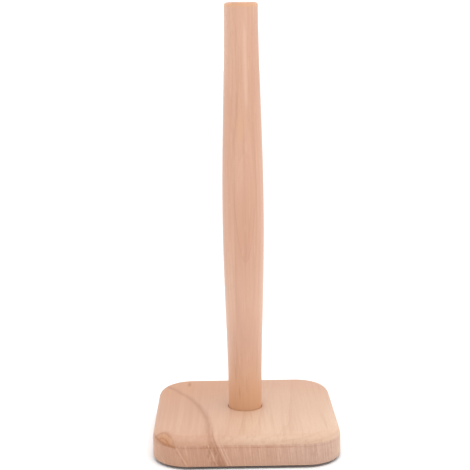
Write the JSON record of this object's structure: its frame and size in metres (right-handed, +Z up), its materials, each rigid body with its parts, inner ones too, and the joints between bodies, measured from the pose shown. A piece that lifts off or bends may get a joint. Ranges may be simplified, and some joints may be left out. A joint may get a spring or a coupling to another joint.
{
  "type": "paper towel holder",
  "caption": "Free-standing wooden paper towel holder: a block base with round corners and a gently swelling upright spindle that screws into it.",
  "frame": {"origin": "on the table, under the spindle's axis, at the middle of the base", "axes": "+Z up along the spindle, -Y towards the front of the base, +X to the right"},
  "size_m": [0.14, 0.14, 0.334],
  "materials": {
    "base_wood": "satin",
    "spindle_wood": "satin",
    "zinc_plated_steel": "satin",
    "zinc_alloy": "satin",
    "foot_rubber": "matte"
  },
  "bodies": {
    "base": {"base": "base_wood", "threaded_insert": "zinc_alloy", "foot_front_left": "foot_rubber", "foot_front_right": "foot_rubber", "foot_back_left": "foot_rubber", "foot_back_right": "foot_rubber"},
    "stud": {"hanger_bolt": "zinc_plated_steel"},
    "spindle": {"spindle": "spindle_wood"}
  },
  "joints": [
    {"name": "stud_lift", "type": "slide", "parent": "base", "child": "stud", "axis": [0, 0, 1], "range_m": [0, 0.01]},
    {"name": "spindle_unscrew", "type": "hinge", "parent": "stud", "child": "spindle", "pos_m": [0, 0, 0.02], "axis": [0, 0, 1], "range_deg": [0, 2880.5]}
  ],
  "couplings": [
    {"joint": "spindle_unscrew", "follows": "stud_lift", "rad_per_m": 5026.5}
  ]
}
